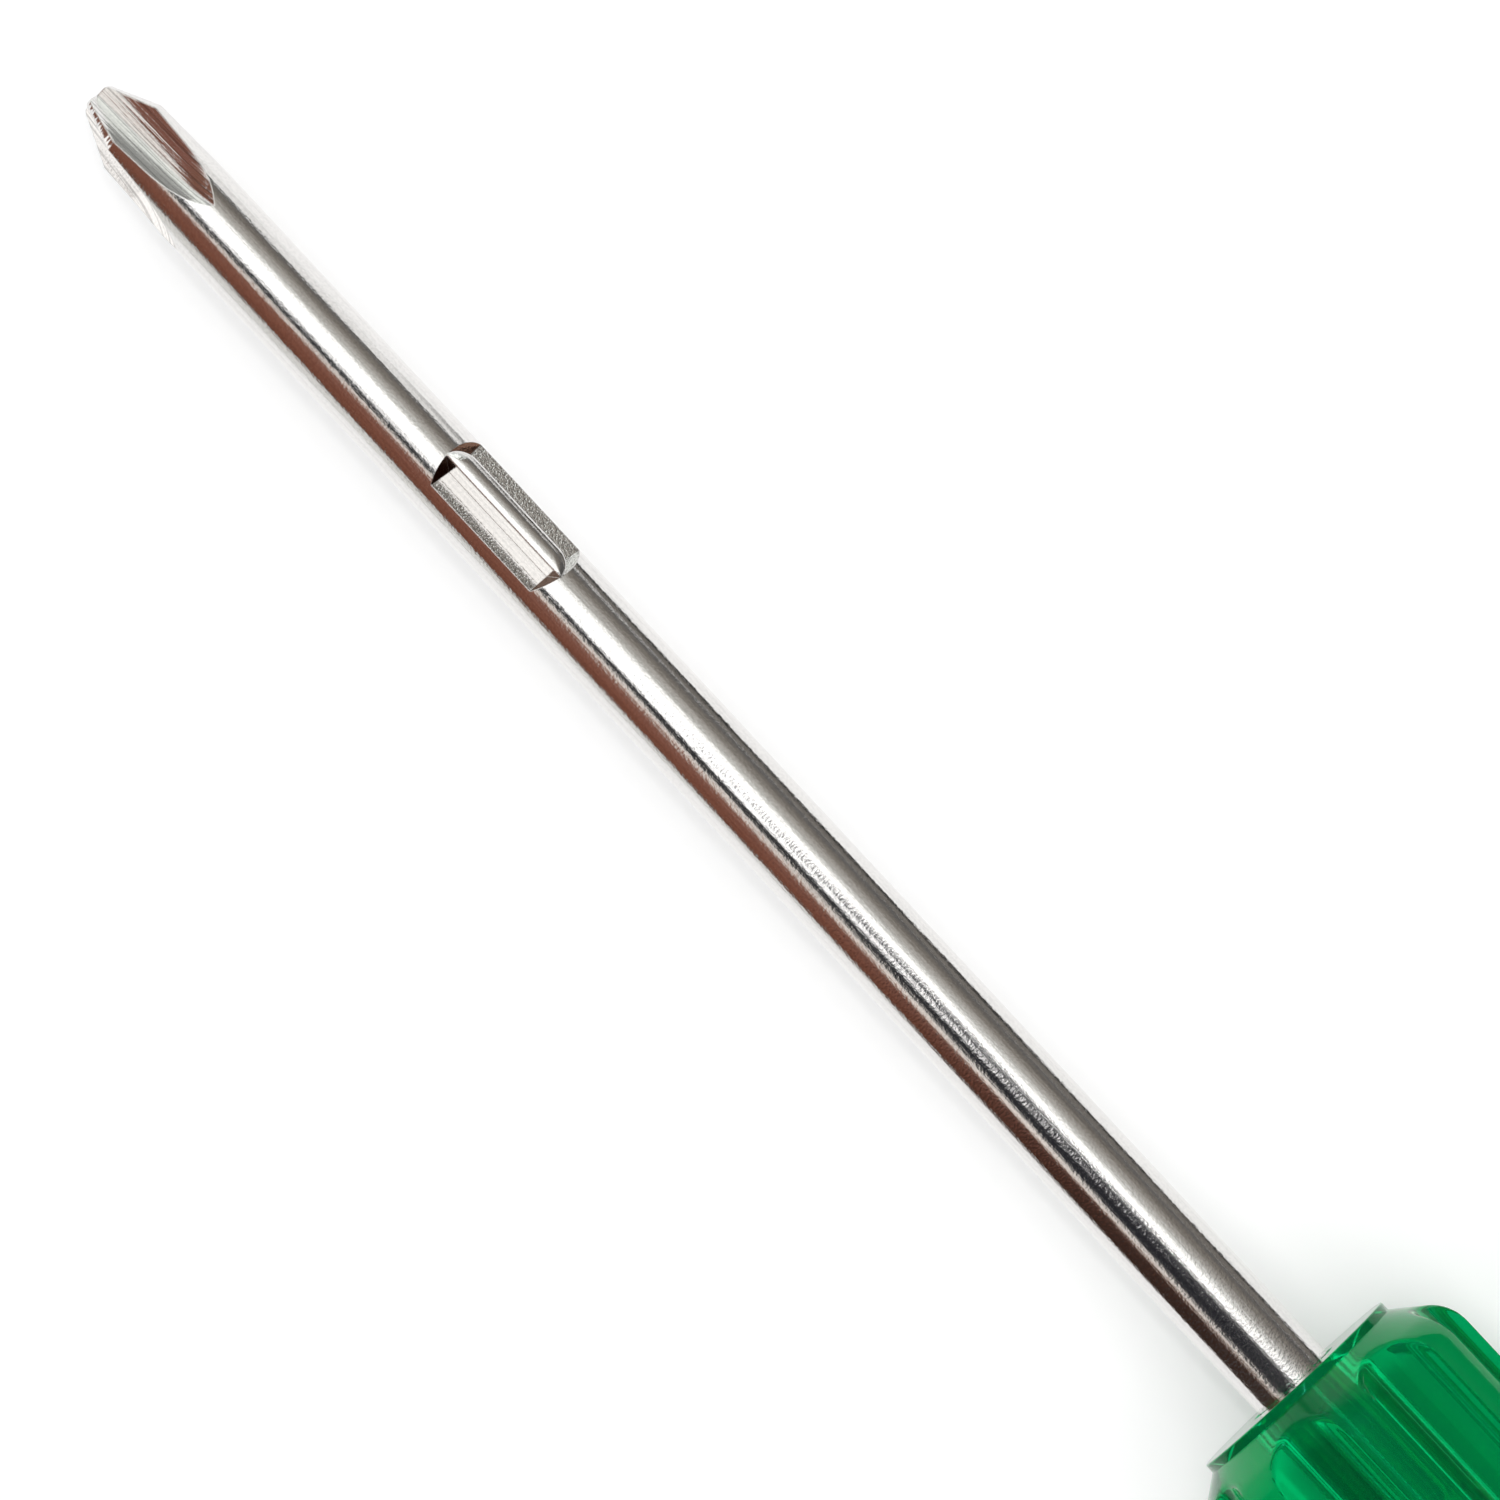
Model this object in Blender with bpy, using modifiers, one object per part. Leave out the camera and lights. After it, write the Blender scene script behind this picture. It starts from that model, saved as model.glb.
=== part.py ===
"""Two-in-one screwdriver: a reversible steel blade in a fluted, see-through handle.

Metres, +Z up. The blade lies along X. The centre of the cross tip's end face is the origin,
and the tip points to +X. Every piece is modelled round its own local Z, which an empty turns
onto X. Angles round the blade count from straight down towards +Y, and every feature of the
blade also stands opposite itself.
"""

import math

import bmesh
import bpy
from mathutils import Matrix, Vector

# Blade
SHANK_DIAMETER = 0.0060
BLADE_REACH = 0.115
EAR_FROM_TIP = 0.0391
EAR_SEAT = 0.0070
END_CHAMFER = 0.00025

# Cross tip
TIP_END_DIAMETER = 0.0027
TIP_END_CHAMFER = 0.00022
TIP_CONE_ANGLE = math.radians(26.5)
TIP_TURN = math.radians(29)
TIP_WINGS = 4
GROOVE_CORE = 0.00056
GROOVE_TAPER = math.radians(5.75)
GROOVE_STRAIGHT = 0.0064
GROOVE_WHEEL_RADIUS = 0.01005
GROOVE_ROOT_WIDTH = 0.0019
GROOVE_ROOT_ANGLE = math.radians(114)
GROOVE_ANGLE = math.radians(94.8)

# Flat tip, at the end that the handle hides
FLAT_TIP_THICKNESS = 0.0010
FLAT_TIP_GRIND = 0.014

# Ears: a flat on each side of an arched rib, on two opposite sides of the blade
EAR_TURN = math.radians(40.7)
EAR_FLAT_LENGTH = 0.0094
EAR_RAMP = 0.0008
EAR_FLAT_HEIGHT = 0.00178
EAR_FLAT_SLOPE = math.radians(3)
EAR_RIB_LENGTH = 0.0108
EAR_RIB_WIDTH = 0.00144
EAR_RIB_RISE = 0.00036
EAR_RIB_ARCH = 0.0014
EAR_RIB_NOSE = 0.0016
EAR_RIB_LEAN = 0.00062

# Handle
HANDLE_LENGTH = 0.095
HANDLE_DIAMETER = 0.022
NOSE_DIAMETER = 0.0155
NOSE_RIM = 0.00065
NOSE_EDGE = 0.00012
SHOULDER_ANGLE = math.radians(53)
SHOULDER_ROUND = 0.0032
BUTT_ROUND = 0.0075
FLUTE_COUNT = 8
FLUTE_SPAN = math.radians(30)
FLUTE_DEPTH = 0.0019

# Socket in the handle
RUNNING_GAP = 0.00015
SEAT_GAP = 0.00030
MOUTH_CHAMFER = 0.00030
SOCKET_END_GAP = 0.0010
SOCKET_END_CONE = math.radians(30)

# Retaining ring in the socket
RING_WIRE = 0.0008
RING_BEHIND_EARS = 0.0025
RING_OPENING = math.radians(40)

# Fineness of the round shapes
SHANK_STEPS = 64
HANDLE_STEPS = 96
GROOVE_STEPS = 120
GRIND_STEPS = 240
FLUTE_STEPS = 48
ARC_STEPS = 8
RIB_STEPS = 10
RIB_ARCH_STEPS = 4
RING_POINTS = 40
RING_SIDES = 2
SHARP_ANGLE = math.radians(28)
MERGE = 0.000001

# Sizes that follow from the ones above
OVERRUN = SHANK_DIAMETER / 2
SHANK_RADIUS = SHANK_DIAMETER / 2
SEAT_DEPTH = EAR_FROM_TIP + EAR_SEAT
BLADE_LENGTH = BLADE_REACH + SEAT_DEPTH
EAR_LENGTH = EAR_FLAT_LENGTH + 2 * EAR_RAMP
EAR_RIB_RADIUS = SHANK_RADIUS + EAR_RIB_RISE
NOSE_Z = -BLADE_REACH
BUTT_Z = NOSE_Z - HANDLE_LENGTH
HANDLE_RADIUS = HANDLE_DIAMETER / 2
NOSE_RADIUS = NOSE_DIAMETER / 2
SOCKET_RADIUS = SHANK_RADIUS + RUNNING_GAP
SOCKET_DEPTH = SEAT_DEPTH + SOCKET_END_GAP
KEYWAY_DEPTH = EAR_SEAT + EAR_LENGTH / 2 + SEAT_GAP
RING_RADIUS = SOCKET_RADIUS + RING_WIRE / 2
RING_Z = NOSE_Z - KEYWAY_DEPTH - RING_BEHIND_EARS
RING_GROOVE_RADIUS = RING_RADIUS + RING_WIRE / 2 + SEAT_GAP
RING_GROOVE_WIDTH = RING_WIRE + 2 * SEAT_GAP


def clear_scene():
    """Removes everything that a new scene starts with."""
    for obj in list(bpy.data.objects):
        bpy.data.objects.remove(obj, do_unlink=True)


def new_collection(name):
    collection = bpy.data.collections.new(name)
    bpy.context.scene.collection.children.link(collection)
    return collection


def new_axis(name):
    """The empty that lays local Z along world X."""
    axis = bpy.data.objects.new(name, None)
    axis.rotation_euler = (0, math.pi / 2, 0)
    bpy.context.scene.collection.objects.link(axis)
    return axis


def new_material(name, colour, roughness, metallic, transmission=0.0, ior=1.5):
    material = bpy.data.materials.new(name)
    material.use_nodes = True
    shader = material.node_tree.nodes["Principled BSDF"]
    shader.inputs["Base Color"].default_value = (*colour, 1)
    shader.inputs["Roughness"].default_value = roughness
    shader.inputs["Metallic"].default_value = metallic
    shader.inputs["Transmission Weight"].default_value = transmission
    shader.inputs["IOR"].default_value = ior
    return material


clear_scene()
PARTS = new_collection("two_in_one_screwdriver")
CUTTERS = new_collection("cutters")
AXIS = new_axis("blade_axis")


def new_object(name, data, collection):
    """Adds an object on the blade's axis. One in the cutters' collection stays out of renders."""
    obj = bpy.data.objects.new(name, data)
    obj.parent = AXIS
    collection.objects.link(obj)
    if collection is CUTTERS:
        obj.hide_render = True
        obj.display_type = "WIRE"
    return obj


def shape_object(name, shape, collection):
    """Adds an object that holds a bmesh, with its faces turned outwards."""
    bmesh.ops.recalc_face_normals(shape, faces=shape.faces)
    mesh = bpy.data.meshes.new(name)
    shape.to_mesh(mesh)
    shape.free()
    return new_object(name, mesh, collection)


def arc(centre_r, centre_z, radius, start, end):
    """Points of a profile's round stretch. Angles count from +r towards +z."""
    turns = [start + (end - start) * i / ARC_STEPS for i in range(ARC_STEPS + 1)]
    return [(centre_r + radius * math.cos(a), centre_z + radius * math.sin(a)) for a in turns]


def turned(name, profile, steps, collection):
    """A turned solid from (radius, height) points that run from its top down to its foot."""
    shape = bmesh.new()
    points = [shape.verts.new((r, 0, z)) for r, z in profile]
    for upper, lower in zip(points, points[1:]):
        shape.edges.new((upper, lower))
    mesh = bpy.data.meshes.new(name)
    shape.to_mesh(mesh)
    shape.free()
    obj = new_object(name, mesh, collection)
    screw = obj.modifiers.new("turn", "SCREW")
    screw.axis = "Z"
    screw.steps = screw.render_steps = steps
    screw.use_merge_vertices = True
    screw.merge_threshold = MERGE
    return obj


def hull(name, places, collection):
    """The smallest solid without hollows that holds all the places."""
    shape = bmesh.new()
    for place in places:
        shape.verts.new(place)
    bmesh.ops.remove_doubles(shape, verts=shape.verts, dist=MERGE)
    skin = bmesh.ops.convex_hull(shape, input=shape.verts)
    inner = {v for v in skin["geom_interior"] + skin["geom_unused"] if isinstance(v, bmesh.types.BMVert)}
    bmesh.ops.delete(shape, geom=list(inner), context="VERTS")
    return shape_object(name, shape, collection)


def swept_wheel(name, rims, path, steps, collection):
    """What a wheel of (side, radius) rims sweeps along a straight path of (height, distance) centres.

    The wheel's axle is local Y, and its centres lie in the plane of local X and Z.
    """
    places = []
    for height, distance in path:
        for side, rim in rims:
            for i in range(steps):
                turn = 2 * math.pi * i / steps
                places.append((distance + rim * math.cos(turn), side, height + rim * math.sin(turn)))
    return hull(name, places, collection)


def prism(name, outlines, collection):
    """A solid between two outlines of as many places each, joined place by place."""
    shape = bmesh.new()
    near, far = ([shape.verts.new(place) for place in outline] for outline in outlines)
    shape.faces.new(near)
    shape.faces.new(far)
    for i in range(len(near)):
        shape.faces.new((near[i - 1], near[i], far[i], far[i - 1]))
    return shape_object(name, shape, collection)


def block(name, size, centre, collection):
    """A box of the given size round a centre."""
    shape = bmesh.new()
    bmesh.ops.create_cube(shape, size=1, matrix=Matrix.Translation(centre) @ Matrix.Diagonal((*size, 1)))
    return shape_object(name, shape, collection)


def combine(target, tool, operation):
    change = target.modifiers.new(tool.name, "BOOLEAN")
    change.operation = operation
    change.object = tool
    change.solver = "EXACT"


def turn_round(obj, angle):
    """Turns a piece round the blade's axis."""
    obj.rotation_euler = (0, 0, angle)
    return obj


def settle(obj, material):
    """Keeps what the modifiers make, shades it smooth between sharp edges and gives it its material."""
    bpy.context.view_layer.update()
    graph = bpy.context.evaluated_depsgraph_get()
    mesh = bpy.data.meshes.new_from_object(obj.evaluated_get(graph))
    obj.modifiers.clear()
    obj.data = mesh
    mesh.name = obj.name
    mesh.shade_smooth()
    mesh.set_sharp_from_angle(angle=SHARP_ANGLE)
    mesh.materials.clear()
    mesh.materials.append(material)


def groove_cutter(index):
    """The wheel that grinds one groove of the cross tip, a little deeper at the tip than at the shank."""
    core = GROOVE_CORE + GROOVE_STRAIGHT * math.tan(GROOVE_TAPER)
    inner_height = -GROOVE_STRAIGHT + GROOVE_WHEEL_RADIUS * math.sin(GROOVE_TAPER)
    inner_distance = core + GROOVE_WHEEL_RADIUS * math.cos(GROOVE_TAPER)
    run = GROOVE_STRAIGHT + OVERRUN
    path = (
        (inner_height, inner_distance),
        (inner_height + run, inner_distance - run * math.tan(GROOVE_TAPER)),
    )
    root_half = GROOVE_ROOT_WIDTH / 2
    shoulder = GROOVE_WHEEL_RADIUS - root_half / math.tan(GROOVE_ROOT_ANGLE / 2)
    flank = shoulder - (SHANK_RADIUS - root_half) / math.tan(GROOVE_ANGLE / 2)
    rims = (
        (-SHANK_RADIUS, flank),
        (-root_half, shoulder),
        (0, GROOVE_WHEEL_RADIUS),
        (root_half, shoulder),
        (SHANK_RADIUS, flank),
    )
    cutter = swept_wheel(f"tip_groove_wheel_{index + 1}", rims, path, GROOVE_STEPS, CUTTERS)
    return turn_round(cutter, TIP_TURN + 2 * math.pi * index / TIP_WINGS)


def flat_tip_cutter(index):
    """The large wheel that hollow-grinds one side of the flat tip, thinnest at its edge."""
    rise = SHANK_RADIUS - FLAT_TIP_THICKNESS / 2
    radius = (FLAT_TIP_GRIND**2 + rise**2) / (2 * rise)
    place = Matrix.Translation((FLAT_TIP_THICKNESS / 2 + radius, 0, -BLADE_LENGTH))
    shape = bmesh.new()
    bmesh.ops.create_cone(
        shape,
        cap_ends=True,
        segments=GRIND_STEPS,
        radius1=radius,
        radius2=radius,
        depth=SHANK_DIAMETER + 2 * OVERRUN,
        matrix=place @ Matrix.Rotation(math.pi / 2, 4, "X"),
    )
    cutter = shape_object(f"flat_tip_wheel_{index + 1}", shape, CUTTERS)
    return turn_round(cutter, TIP_TURN + math.pi * index)


def ear_flat_cutter(name, height):
    """The bar that presses the two flats beside a rib, which rise a little away from it."""
    ramp = EAR_RAMP / (SHANK_RADIUS - EAR_FLAT_HEIGHT)
    valley = EAR_FLAT_HEIGHT - EAR_RIB_WIDTH / 2 * math.tan(EAR_FLAT_SLOPE)
    foot = valley + SHANK_DIAMETER * math.tan(EAR_FLAT_SLOPE)
    top = SHANK_RADIUS + OVERRUN
    section = (
        (top, -SHANK_DIAMETER),
        (foot, -SHANK_DIAMETER),
        (valley, 0),
        (foot, SHANK_DIAMETER),
        (top, SHANK_DIAMETER),
    )
    outlines = []
    for end in (-1, 1):
        outline = []
        for level, across in section:
            half_length = EAR_FLAT_LENGTH / 2 + ramp * (level - EAR_FLAT_HEIGHT)
            outline.append((level, across, height + end * half_length))
        outlines.append(outline)
    return prism(name, outlines, CUTTERS)


def ear_rib(name, height):
    """Both ribs of an ear as one bar through the shank, with arched tops and leaning round ends."""
    straight = EAR_RIB_LENGTH / 2 - EAR_RIB_NOSE
    places = []
    for step in range(RIB_ARCH_STEPS + 1):
        share = step / RIB_ARCH_STEPS
        width = EAR_RIB_WIDTH / 2 * share
        level = EAR_RIB_RADIUS - EAR_RIB_ARCH + math.sqrt(EAR_RIB_ARCH**2 - width**2)
        lean = EAR_RIB_LEAN * share
        for i in range(RIB_STEPS + 1):
            turn = math.pi * i / RIB_STEPS
            edge = math.copysign(width, math.cos(turn))
            across = (edge + lean) * abs(math.cos(turn)) - lean
            reach = straight + EAR_RIB_NOSE * share * math.sin(turn)
            for end in (-1, 1):
                for side in (-1, 1):
                    places.append((side * level, side * across, height + end * reach))
    return hull(name, places, CUTTERS)


def add_ear(blade, name, height):
    """Presses the flats of both sides, then stands the ribs on them."""
    for index in (0, 1):
        flats = ear_flat_cutter(f"{name}_flats_{index + 1}", height)
        combine(blade, turn_round(flats, EAR_TURN + math.pi * index), "DIFFERENCE")
    combine(blade, turn_round(ear_rib(f"{name}_rib", height), EAR_TURN), "UNION")


def make_blade():
    cone_height = (SHANK_RADIUS - TIP_END_DIAMETER / 2) / math.tan(TIP_CONE_ANGLE)
    profile = [
        (0, 0),
        (TIP_END_DIAMETER / 2 - TIP_END_CHAMFER, 0),
        (TIP_END_DIAMETER / 2, -TIP_END_CHAMFER),
        (SHANK_RADIUS, -cone_height - TIP_END_CHAMFER),
        (SHANK_RADIUS, -BLADE_LENGTH + END_CHAMFER),
        (SHANK_RADIUS - END_CHAMFER, -BLADE_LENGTH),
        (0, -BLADE_LENGTH),
    ]
    blade = turned("blade", profile, SHANK_STEPS, PARTS)
    for index in range(TIP_WINGS):
        combine(blade, groove_cutter(index), "DIFFERENCE")
    for index in (0, 1):
        combine(blade, flat_tip_cutter(index), "DIFFERENCE")
    add_ear(blade, "front_ear", -EAR_FROM_TIP)
    add_ear(blade, "rear_ear", -BLADE_LENGTH + EAR_FROM_TIP)
    settle(blade, new_material("plated_steel", (0.62, 0.60, 0.58), 0.16, 1.0))


def handle_profile():
    """From the nose face over the rim, the cone and the round shoulder to the rounded butt."""
    shoulder_r = HANDLE_RADIUS - SHOULDER_ROUND
    cone_end_r = shoulder_r + SHOULDER_ROUND * math.cos(math.pi / 2 - SHOULDER_ANGLE)
    cone_rise = HANDLE_RADIUS - SHOULDER_ROUND * (1 - math.cos(SHOULDER_ANGLE)) - NOSE_RADIUS
    cone_end_z = NOSE_Z - NOSE_RIM - cone_rise / math.tan(SHOULDER_ANGLE)
    shoulder_z = cone_end_z - SHOULDER_ROUND * math.sin(SHOULDER_ANGLE)
    return (
        [(0, NOSE_Z), (NOSE_RADIUS - NOSE_EDGE, NOSE_Z)]
        + [(NOSE_RADIUS, NOSE_Z - NOSE_EDGE), (NOSE_RADIUS, NOSE_Z - NOSE_RIM)]
        + arc(shoulder_r, shoulder_z, SHOULDER_ROUND, SHOULDER_ANGLE, 0)
        + arc(HANDLE_RADIUS - BUTT_ROUND, BUTT_Z + BUTT_ROUND, BUTT_ROUND, 0, -math.pi / 2)
        + [(0, BUTT_Z)]
    )


def flute_cutter(index):
    """A long round bar that sinks into the handle by the flute's depth over the flute's span."""
    floor = HANDLE_RADIUS - FLUTE_DEPTH
    half_chord = HANDLE_RADIUS * math.sin(FLUTE_SPAN / 2)
    sagitta = HANDLE_RADIUS * math.cos(FLUTE_SPAN / 2) - floor
    radius = (half_chord**2 + sagitta**2) / (2 * sagitta)
    middle = (NOSE_Z + BUTT_Z) / 2
    shape = bmesh.new()
    bmesh.ops.create_cone(
        shape,
        cap_ends=True,
        segments=FLUTE_STEPS,
        radius1=radius,
        radius2=radius,
        depth=HANDLE_LENGTH + 2 * OVERRUN,
        matrix=Matrix.Translation((floor + radius, 0, middle)),
    )
    cutter = shape_object(f"flute_bar_{index + 1}", shape, CUTTERS)
    return turn_round(cutter, 2 * math.pi * index / FLUTE_COUNT)


def socket_cutter():
    """The socket: a chamfered mouth, the round hole, the ring's groove and a cone at the end."""
    groove_top = RING_Z + RING_GROOVE_WIDTH / 2
    groove_foot = RING_Z - RING_GROOVE_WIDTH / 2
    end = NOSE_Z - SOCKET_DEPTH
    profile = [
        (0, NOSE_Z + OVERRUN),
        (SOCKET_RADIUS + MOUTH_CHAMFER + OVERRUN, NOSE_Z + OVERRUN),
        (SOCKET_RADIUS, NOSE_Z - MOUTH_CHAMFER),
        (SOCKET_RADIUS, groove_top),
        (RING_GROOVE_RADIUS, groove_top),
        (RING_GROOVE_RADIUS, groove_foot),
        (SOCKET_RADIUS, groove_foot),
        (SOCKET_RADIUS, end),
        (0, end - SOCKET_RADIUS * math.tan(SOCKET_END_CONE)),
    ]
    return turned("socket", profile, SHANK_STEPS, CUTTERS)


def keyway_cutter():
    """The two slots that take the ribs of the hidden ear, as one bar across the socket."""
    length = KEYWAY_DEPTH + OVERRUN
    size = (2 * (EAR_RIB_RADIUS + RUNNING_GAP), EAR_RIB_WIDTH + 2 * RUNNING_GAP, length)
    centre = (0, 0, NOSE_Z + OVERRUN - length / 2)
    return turn_round(block("keyways", size, centre, CUTTERS), EAR_TURN)


def make_handle():
    handle = turned("handle", handle_profile(), HANDLE_STEPS, PARTS)
    for index in range(FLUTE_COUNT):
        combine(handle, flute_cutter(index), "DIFFERENCE")
    combine(handle, socket_cutter(), "DIFFERENCE")
    combine(handle, keyway_cutter(), "DIFFERENCE")
    acetate = new_material("green_acetate", (0.01, 0.36, 0.14), 0.08, 0.0, transmission=0.9, ior=1.47)
    settle(handle, acetate)


def make_retaining_ring():
    """An open ring of spring wire in the socket's groove. It grips the shank behind the ears."""
    curve = bpy.data.curves.new("retaining_ring", "CURVE")
    curve.dimensions = "3D"
    curve.bevel_depth = RING_WIRE / 2
    curve.bevel_resolution = RING_SIDES
    curve.use_fill_caps = True
    line = curve.splines.new("POLY")
    line.points.add(RING_POINTS - 1)
    sweep = 2 * math.pi - RING_OPENING
    for i, point in enumerate(line.points):
        turn = EAR_TURN + RING_OPENING / 2 + sweep * i / (RING_POINTS - 1)
        place = Vector((RING_RADIUS * math.cos(turn), RING_RADIUS * math.sin(turn), RING_Z))
        point.co = (*place, 1)
    curve.materials.append(new_material("spring_steel", (0.28, 0.28, 0.30), 0.35, 1.0))
    new_object("retaining_ring", curve, PARTS)


make_blade()
make_handle()
make_retaining_ring()
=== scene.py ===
"""Looks of the two-in-one screwdriver: a reversible plated blade in a fluted, see-through handle.

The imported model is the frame. Metres, +Z up, the blade along X with its cross tip at the origin.
Turned pieces are modelled round local Z, and AXIS_TURN lays them along X. Angles round the blade
count in that local frame from +X towards +Y, which is from straight down towards +Y.
"""

import logging
import math
from dataclasses import dataclass, field
from enum import Enum
from typing import Iterable, Mapping, Sequence

import bmesh
import bpy
import numpy as np
from mathutils import Matrix, Vector


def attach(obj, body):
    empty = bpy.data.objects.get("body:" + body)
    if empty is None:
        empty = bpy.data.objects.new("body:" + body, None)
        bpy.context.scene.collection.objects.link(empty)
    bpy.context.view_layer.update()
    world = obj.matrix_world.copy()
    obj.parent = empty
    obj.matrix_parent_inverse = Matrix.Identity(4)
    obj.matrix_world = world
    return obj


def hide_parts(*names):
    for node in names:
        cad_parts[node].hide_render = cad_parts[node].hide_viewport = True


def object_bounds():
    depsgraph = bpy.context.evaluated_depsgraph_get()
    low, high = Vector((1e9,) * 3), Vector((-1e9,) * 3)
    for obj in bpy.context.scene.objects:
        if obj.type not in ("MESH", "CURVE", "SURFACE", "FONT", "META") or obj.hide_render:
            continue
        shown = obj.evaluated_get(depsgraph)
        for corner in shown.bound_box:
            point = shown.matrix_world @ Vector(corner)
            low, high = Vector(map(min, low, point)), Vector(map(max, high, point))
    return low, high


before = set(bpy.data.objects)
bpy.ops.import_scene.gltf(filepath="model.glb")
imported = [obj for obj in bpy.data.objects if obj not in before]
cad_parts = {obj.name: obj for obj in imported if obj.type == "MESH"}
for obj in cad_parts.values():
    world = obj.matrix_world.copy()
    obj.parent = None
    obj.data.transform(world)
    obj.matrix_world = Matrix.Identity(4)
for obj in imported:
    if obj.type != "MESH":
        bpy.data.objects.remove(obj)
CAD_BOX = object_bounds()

LOG = logging.getLogger("screwdriver")
AXIS_TURN = Matrix.Rotation(math.pi / 2, 4, "Y")
SHARP_ANGLE = math.radians(26)
FULL_TURN = 2 * math.pi
TINY = 1e-6

Colour = tuple[float, float, float]
Point = tuple[float, float, float]
Span = tuple[float, float]
Stops = Sequence[tuple[float, Colour]]
Piece = bpy.types.Object
Socket = bpy.types.NodeSocket

WHITE: Colour = (1.0, 1.0, 1.0)


class Body(Enum):
    """The CAD bodies that pieces ride on."""

    HANDLE = "handle"
    BLADE = "blade"


class Slot(Enum):
    """The record's material slots."""

    PLATED_STEEL = "plated_steel"
    GREEN_ACETATE = "green_acetate"
    SPRING_STEEL = "spring_steel"


class Ground(Enum):
    """How one face of the blade was worked, which decides the marks on it."""

    PLATED = 0
    TURNED = 1
    GROOVE = 2
    PRESSED = 3
    # RAMP faces get a dark brown base colour, a painted reflection of the dark they face.
    RAMP = 4


# Shader maths


@dataclass(frozen=True)
class Signal:
    """A number that a shader node's output gives, with Python's arithmetic on it."""

    tree: "Tree"
    socket: Socket

    def _math(self, operation: str, *operands: "Number") -> "Signal":
        """One Math node on values or links, in order."""
        node = self.tree.node("ShaderNodeMath", {"operation": operation}, dict(enumerate(operands)))
        return Signal(self.tree, node.outputs[0])

    def __add__(self, other: "Number") -> "Signal":
        """This plus other."""
        return self._math("ADD", self, other)

    def __radd__(self, other: "Number") -> "Signal":
        """Other plus this."""
        return self._math("ADD", other, self)

    def __sub__(self, other: "Number") -> "Signal":
        """This minus other."""
        return self._math("SUBTRACT", self, other)

    def __rsub__(self, other: "Number") -> "Signal":
        """Other minus this."""
        return self._math("SUBTRACT", other, self)

    def __mul__(self, other: "Number") -> "Signal":
        """This times other."""
        return self._math("MULTIPLY", self, other)

    def __truediv__(self, other: "Number") -> "Signal":
        """This divided by other."""
        return self._math("DIVIDE", self, other)

    def __neg__(self) -> "Signal":
        """This times minus one."""
        return self._math("MULTIPLY", self, -1.0)

    def __abs__(self) -> "Signal":
        """The size of this, without its sign."""
        return self._math("ABSOLUTE", self)

    def largest(self, other: "Number") -> "Signal":
        """The larger of this and other."""
        return self._math("MAXIMUM", self, other)

    def angle_from(self, other: "Number") -> "Signal":
        """The angle whose sine runs as this and whose cosine runs as other."""
        return self._math("ARCTAN2", self, other)

    def step(self, start: float, end: float) -> "Signal":
        """A smooth rise from 0 at start to 1 at end.

        Args:
            start: Where it is 0.
            end: Where it is 1.

        Returns:
            The rise, held at 0 and 1 outside.
        """
        node = self.tree.node(
            "ShaderNodeMapRange",
            {"interpolation_type": "SMOOTHSTEP", "clamp": True},
            {"Value": self, "From Min": start, "From Max": end},
        )
        return Signal(self.tree, node.outputs["Result"])


Number = float | Signal
Feed = float | Sequence[float] | Signal | Socket


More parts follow.
